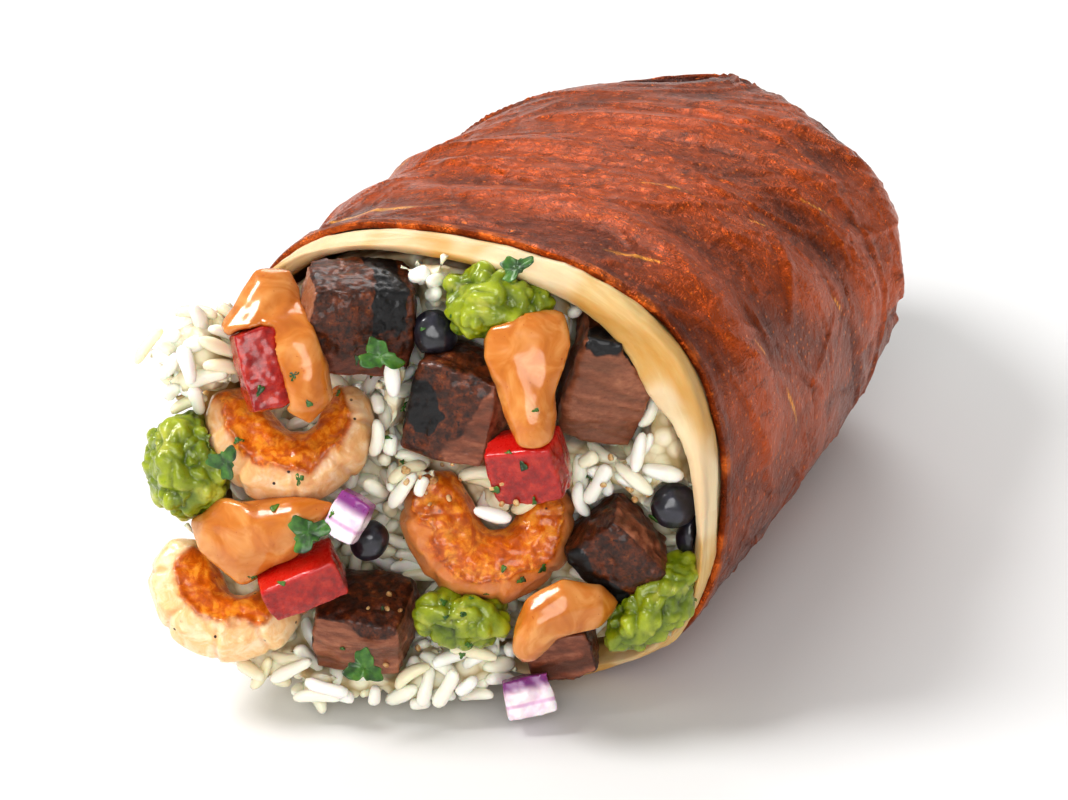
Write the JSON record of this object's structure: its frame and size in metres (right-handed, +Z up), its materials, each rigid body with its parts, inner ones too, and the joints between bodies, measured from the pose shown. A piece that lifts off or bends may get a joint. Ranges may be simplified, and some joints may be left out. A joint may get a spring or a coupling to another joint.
{
  "type": "burrito",
  "caption": "Foil-wrapped burrito lying on its side, its open end showing steak, shrimp, rice, beans, guacamole and sauce.",
  "frame": {"origin": "middle of the underside of the whole, on the surface it lies on", "axes": "+Y along the roll from its open end to its closed end, +X to the right seen from the open end, +Z up"},
  "size_m": [0.1, 0.1864, 0.0839],
  "materials": {
    "foil": "copper-coloured crinkled foil with a fine embossed dot pattern",
    "tortilla": "soft baked wheat tortilla, cream with toasted streaks",
    "rice": "moist boiled white rice",
    "steak": "grilled diced beef, brown crust, charred stripes, pink-brown cut faces",
    "shrimp": "seared shrimp, orange crust, pale sides",
    "tomato": "wet diced tomato",
    "onion": "diced red onion, purple skin, pale flesh",
    "bean": "glossy black bean",
    "guacamole": "wet lumpy guacamole",
    "sauce": "smooth glossy orange chilli sauce",
    "cilantro": "dark green cilantro leaf"
  },
  "bodies": {
    "root": {"foil_wrap": "foil", "tortilla": "tortilla", "rice_filling": "rice", "rice_clump": "rice", "steak_1": "steak", "steak_2": "steak", "steak_3": "steak", "steak_4": "steak", "steak_5": "steak", "steak_6": "steak", "shrimp_1": "shrimp", "shrimp_2": "shrimp", "shrimp_3": "shrimp", "tomato_1": "tomato", "tomato_2": "tomato", "tomato_3": "tomato", "onion_1": "onion", "onion_2": "onion", "bean_1": "bean", "bean_2": "bean", "bean_3": "bean", "bean_4": "bean", "guacamole_1": "guacamole", "guacamole_2": "guacamole", "guacamole_3": "guacamole", "guacamole_4": "guacamole", "sauce_1": "sauce", "sauce_2": "sauce", "sauce_3": "sauce", "sauce_4": "sauce", "cilantro_1": "cilantro", "cilantro_2": "cilantro", "cilantro_3": "cilantro", "cilantro_4": "cilantro", "cilantro_5": "cilantro"}
  },
  "joints": []
}
